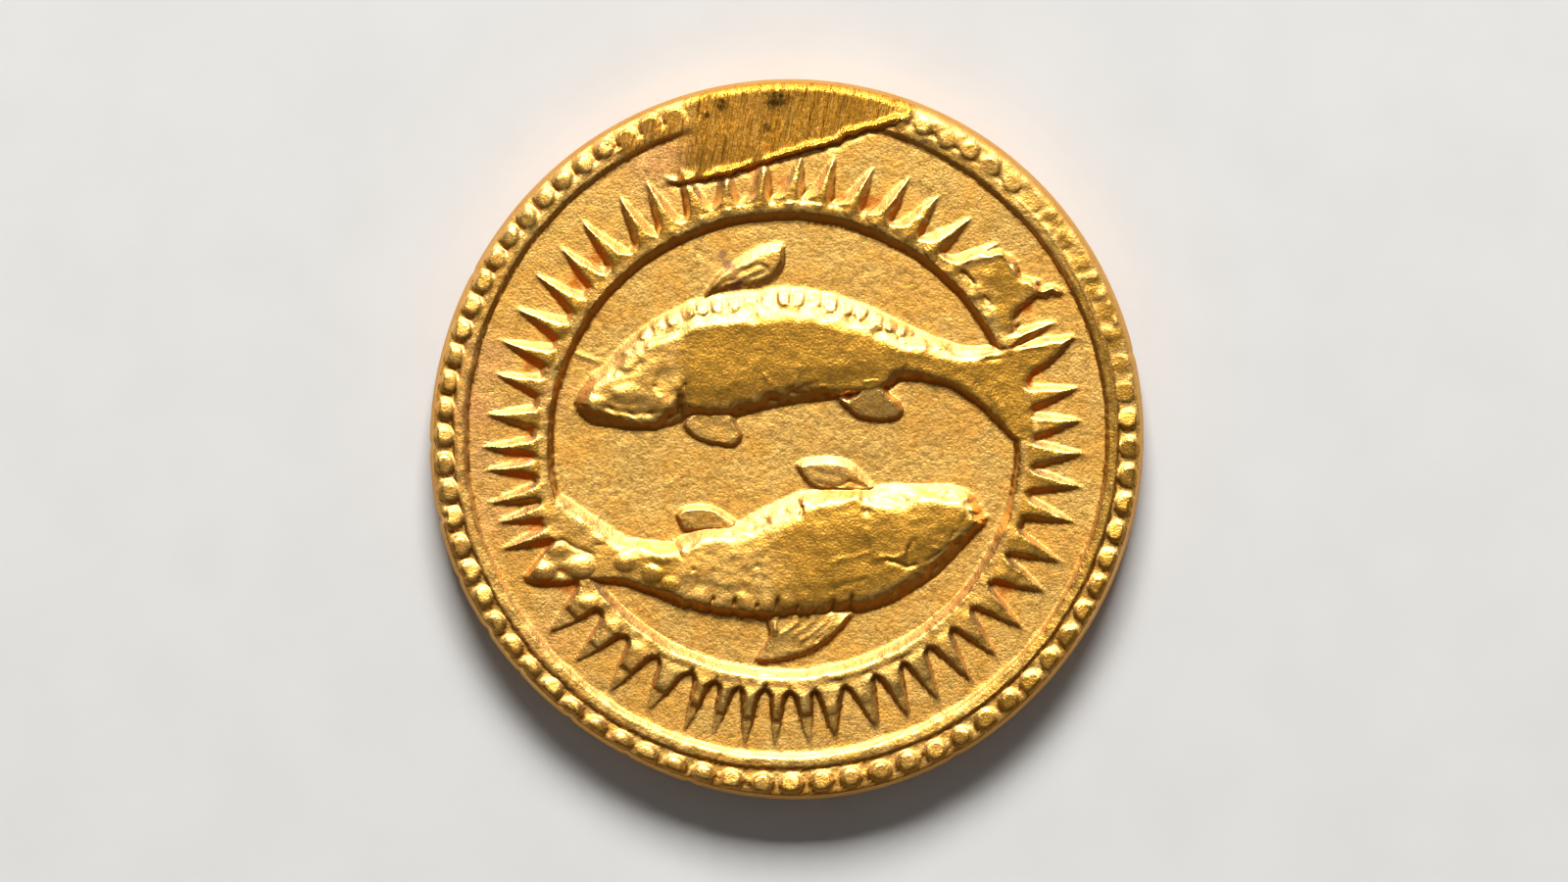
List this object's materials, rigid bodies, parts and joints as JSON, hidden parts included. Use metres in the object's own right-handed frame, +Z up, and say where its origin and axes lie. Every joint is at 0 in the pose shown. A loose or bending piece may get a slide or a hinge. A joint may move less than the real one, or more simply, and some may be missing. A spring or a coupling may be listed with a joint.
{
  "type": "gold coin",
  "caption": "Struck gold coin lying flat: two fish in a ring of rays, a raised line and a beaded border, with a filed stump and a worn patch.",
  "frame": {"origin": "centre of the coin's bounding box, on the surface that it lies on", "axes": "+Z up through the coin's thickness, out of the side with the two fish; +Y towards the filed stump at the top of the design; +X to the right of the design"},
  "size_m": [0.021, 0.0212, 0.0021],
  "materials": {
    "gold": "worn struck gold: satin field, smoother on the high flats, warm orange dirt in the recesses"
  },
  "bodies": {
    "root": {"coin": "gold"}
  },
  "joints": []
}
